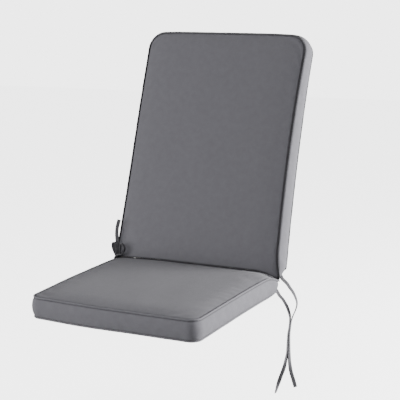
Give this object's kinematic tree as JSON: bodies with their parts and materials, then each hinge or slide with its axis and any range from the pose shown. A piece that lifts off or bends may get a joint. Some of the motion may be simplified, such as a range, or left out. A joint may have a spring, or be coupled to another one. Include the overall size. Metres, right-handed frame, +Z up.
{
  "type": "chair seat pad",
  "caption": "High-back chair pad: box-edged foam seat and back pads in grey piped cloth, joined by a fold, with zips and fabric ties at the fold's ends.",
  "frame": {"origin": "middle of the seat pad's flat underside, where it rests on the chair", "axes": "+X to the right of someone facing the pad, seat front faces -Y, +Z up; the back pad leans back 19.5 degrees from upright"},
  "size_m": [0.5852, 0.7658, 1.002],
  "materials": {
    "cover_cloth": "plain-woven polyester canvas, mid grey, matt",
    "tie_cloth": "folded and stitched strip of the cover cloth, mid grey, matt",
    "foam": "open-cell polyurethane foam, pale cream, matt",
    "piping_cord": "twisted filler cord, off-white",
    "zip_tape": "woven zip tape with nylon coil, dark grey",
    "slider_metal": "grey lacquered zinc, satin"
  },
  "bodies": {
    "seat": {"fold_seam_strip": "cover_cloth", "lower_tie_left": "tie_cloth", "lower_tie_right": "tie_cloth", "seat_bottom_panel": "cover_cloth", "seat_bottom_piping": "cover_cloth", "seat_bottom_piping_cord": "piping_cord", "seat_boxing": "cover_cloth", "seat_foam_core": "foam", "seat_inner_zip_facing": "cover_cloth", "seat_outer_zip_facing": "cover_cloth", "seat_top_panel": "cover_cloth", "seat_top_piping": "cover_cloth", "seat_top_piping_cord": "piping_cord", "seat_zip": "zip_tape"},
    "back": {"back_boxing": "cover_cloth", "back_foam_core": "foam", "back_front_panel": "cover_cloth", "back_front_piping": "cover_cloth", "back_front_piping_cord": "piping_cord", "back_inner_zip_facing": "cover_cloth", "back_outer_zip_facing": "cover_cloth", "back_rear_panel": "cover_cloth", "back_rear_piping": "cover_cloth", "back_rear_piping_cord": "piping_cord", "back_zip": "zip_tape", "upper_tie_left": "tie_cloth", "upper_tie_right": "tie_cloth"},
    "seat_slider": {"seat_zip_slider": "slider_metal"},
    "back_slider": {"back_zip_slider": "slider_metal"}
  },
  "joints": [
    {"name": "back_fold", "type": "hinge", "parent": "seat", "child": "back", "pos_m": [0, 0.24, 0.06], "axis": [-1, 0, 0], "range_deg": [-104, 70], "deforming": ["lower_tie_left", "lower_tie_right", "upper_tie_left", "upper_tie_right"]},
    {"name": "seat_zip_travel", "type": "slide", "parent": "seat", "child": "seat_slider", "axis": [1, 0, 0], "range_m": [0, 0.43]},
    {"name": "back_zip_travel", "type": "slide", "parent": "back", "child": "back_slider", "axis": [-1, 0, 0], "range_m": [0, 0.43]}
  ]
}
